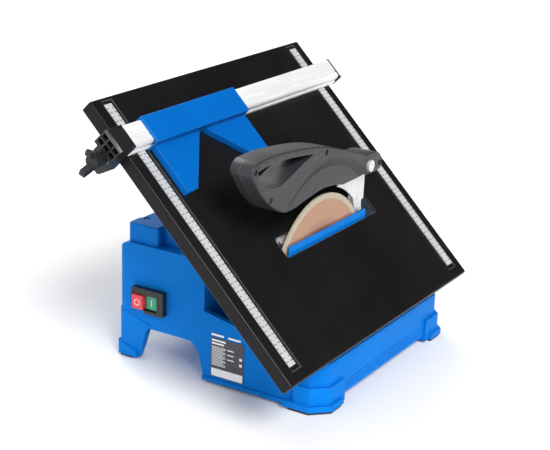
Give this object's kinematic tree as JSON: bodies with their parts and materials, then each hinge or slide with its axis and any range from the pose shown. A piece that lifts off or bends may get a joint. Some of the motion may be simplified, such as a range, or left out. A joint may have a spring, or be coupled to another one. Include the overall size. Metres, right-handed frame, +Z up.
{
  "type": "table tile cutter",
  "caption": "Table tile cutter with a tilting table, diamond blade with raised guard, clamped rip fence with sliding angle guide, and a water tub in a moulded base.",
  "frame": {"origin": "on the ground under the middle of the machine, outline of the rest pose", "axes": "+Z up, +Y from the switch side to the back along the blade, +X to the right along the spindle, away from the motor"},
  "size_m": [0.2693, 0.435, 0.2998],
  "materials": {
    "blue_plastic": "fine spark-eroded texture",
    "blue_guide": "smooth moulded",
    "rubber": "matt moulded",
    "plate_print": "printed foil on metal",
    "black_plastic": "moulded",
    "red_plastic": "moulded",
    "green_plastic": "moulded",
    "zinc_steel": "zinc plated",
    "cast_aluminium": "die cast",
    "lamination_steel": "varnished laminations",
    "copper_wire": "enamelled copper",
    "bearing_steel": "ground",
    "blade_body": "lacquered",
    "blade_rim": "sintered diamond rim",
    "knife_steel": "bright",
    "guard_plastic": "fine texture",
    "black_steel": "blackened",
    "table_enamel": "gloss enamel",
    "scale_aluminium": "satin, printed scale",
    "fence_aluminium": "satin anodised"
  },
  "bodies": {
    "base": {"base_housing": "blue_plastic", "blade_cover": "blue_plastic", "blade_cover_screws": "zinc_steel", "cable_gland": "black_plastic", "capacitor": "cast_aluminium", "cover_screws": "zinc_steel", "front_bearing": "bearing_steel", "front_hinge_post": "zinc_steel", "front_lock_stud": "zinc_steel", "front_pivot_bolt": "zinc_steel", "guard_bolt": "zinc_steel", "guard_nut": "zinc_steel", "knife_carrier": "zinc_steel", "knife_screw": "zinc_steel", "lock_washers": "zinc_steel", "motor_cover": "blue_plastic", "motor_front_bell": "cast_aluminium", "motor_rear_bell": "cast_aluminium", "motor_saddles": "zinc_steel", "post_screws": "zinc_steel", "rating_plate": "plate_print", "rear_bearing": "bearing_steel", "rear_hinge_post": "zinc_steel", "rear_lock_stud": "zinc_steel", "rear_pivot_bolt": "zinc_steel", "riving_knife": "knife_steel", "rubber_feet": "rubber", "stator_core": "lamination_steel", "stator_windings": "copper_wire", "switch_block": "black_plastic", "switch_housing": "black_plastic"},
    "table": {"table_top": "table_enamel", "table_ribs": "table_enamel", "left_scale": "scale_aluminium", "right_scale": "scale_aluminium", "front_quadrant": "zinc_steel", "rear_quadrant": "zinc_steel"},
    "fence": {"fence_profile": "fence_aluminium", "fence_end_cap": "black_plastic", "clamp_bracket": "black_plastic"},
    "clamp_pad": {"clamp_jaw": "zinc_steel", "clamp_washer": "zinc_steel"},
    "clamp_knob": {"clamp_screw": "zinc_steel", "wing_knob": "black_plastic"},
    "guide": {"angle_guide": "blue_guide"},
    "blade": {"spindle": "bearing_steel", "rotor_core": "lamination_steel", "cooling_fan": "black_plastic", "inner_flange": "zinc_steel", "outer_flange": "zinc_steel", "arbor_nut": "zinc_steel", "blade_disc": "blade_body", "blade_rim": "blade_rim"},
    "guard": {"guard_left": "guard_plastic", "guard_right": "guard_plastic", "guard_screws": "black_steel"},
    "stop_key": {"stop_button": "red_plastic"},
    "start_key": {"start_button": "green_plastic"},
    "front_lock": {"front_lock_knob": "black_plastic"},
    "rear_lock": {"rear_lock_knob": "black_plastic"}
  },
  "joints": [
    {"name": "table_tilt", "type": "hinge", "parent": "base", "child": "table", "pos_m": [0.04393, 0.018, 0.14493], "axis": [0, 1, 0], "range_deg": [-45, 0]},
    {"name": "fence_slide", "type": "slide", "parent": "table", "child": "fence", "axis": [0.7071, 0, -0.7071], "range_m": [-0.033, 0.06]},
    {"name": "guide_slide", "type": "slide", "parent": "fence", "child": "guide", "axis": [0, 1, 0], "range_m": [-0.028, 0.195]},
    {"name": "clamp_turn", "type": "hinge", "parent": "clamp_pad", "child": "clamp_knob", "pos_m": [-0.06691, -0.192, 0.25506], "axis": [0, 1, 0], "range_deg": [-720, 0]},
    {"name": "clamp_travel", "type": "slide", "parent": "fence", "child": "clamp_pad", "axis": [0, 1, 0], "range_m": [-0.002, 0]},
    {"name": "blade_spin", "type": "hinge", "parent": "base", "child": "blade", "pos_m": [0.051, 0.018, 0.0991], "axis": [1, 0, 0], "continuous": true},
    {"name": "guard_pivot", "type": "hinge", "parent": "base", "child": "guard", "pos_m": [0.051, 0.0908, 0.2064], "axis": [1, 0, 0], "range_deg": [-34, 7]},
    {"name": "stop_press", "type": "slide", "parent": "base", "child": "stop_key", "axis": [0, 1, 0], "range_m": [0, 0.003], "stiffness_N_per_m": 600, "springref_m": -0.0015},
    {"name": "start_press", "type": "slide", "parent": "base", "child": "start_key", "axis": [0, 1, 0], "range_m": [0, 0.0025], "stiffness_N_per_m": 600, "springref_m": -0.0015},
    {"name": "front_lock_turn", "type": "hinge", "parent": "base", "child": "front_lock", "pos_m": [0.04393, -0.094, 0.10293], "axis": [0, 1, 0], "range_deg": [-180, 0]},
    {"name": "rear_lock_turn", "type": "hinge", "parent": "base", "child": "rear_lock", "pos_m": [0.04393, 0.183, 0.10293], "axis": [0, 1, 0], "range_deg": [0, 180]}
  ],
  "couplings": [
    {"joint": "clamp_travel", "follows": "clamp_turn", "m_per_rad": 0.00015915}
  ]
}
